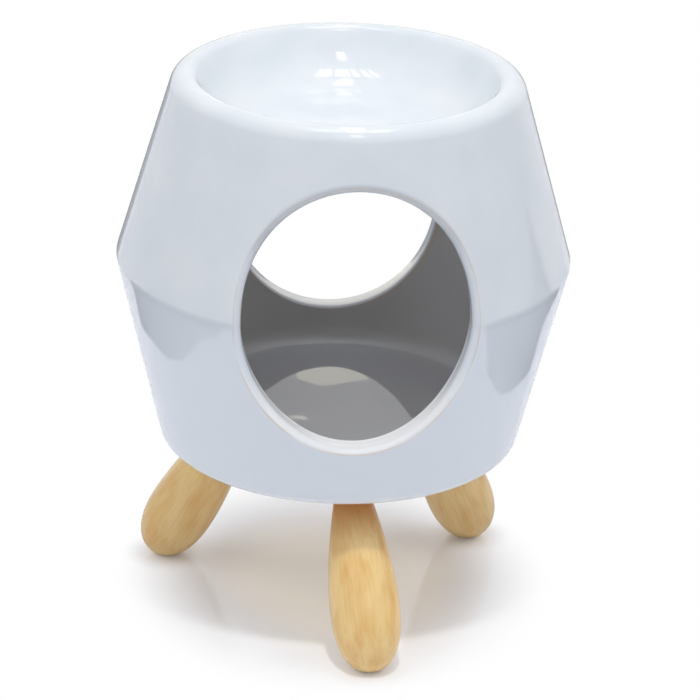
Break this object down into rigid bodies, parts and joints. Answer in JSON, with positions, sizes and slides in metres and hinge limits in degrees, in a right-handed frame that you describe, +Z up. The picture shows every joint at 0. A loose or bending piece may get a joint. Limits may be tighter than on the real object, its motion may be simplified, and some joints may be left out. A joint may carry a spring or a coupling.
{
  "type": "oil burner",
  "caption": "Glazed double-cone oil burner with a shallow dish in its top, oval openings front and back for a tea light, and splayed turned wooden legs.",
  "frame": {"origin": "At table level, under the middle of the space the burner takes up. The body's own axis is upright and stands 2.2 mm behind it, towards +Y.", "axes": "+Z up. The front opening and the front leg face -Y. +X is to the right for someone looking at the front."},
  "size_m": [0.101, 0.091, 0.1245],
  "materials": {
    "glaze": "glossy white glaze",
    "wood": "satin lacquer over pale turned wood"
  },
  "bodies": {
    "root": {"burner_body": "glaze", "leg_front": "wood", "leg_right": "wood", "leg_left": "wood"}
  },
  "joints": []
}
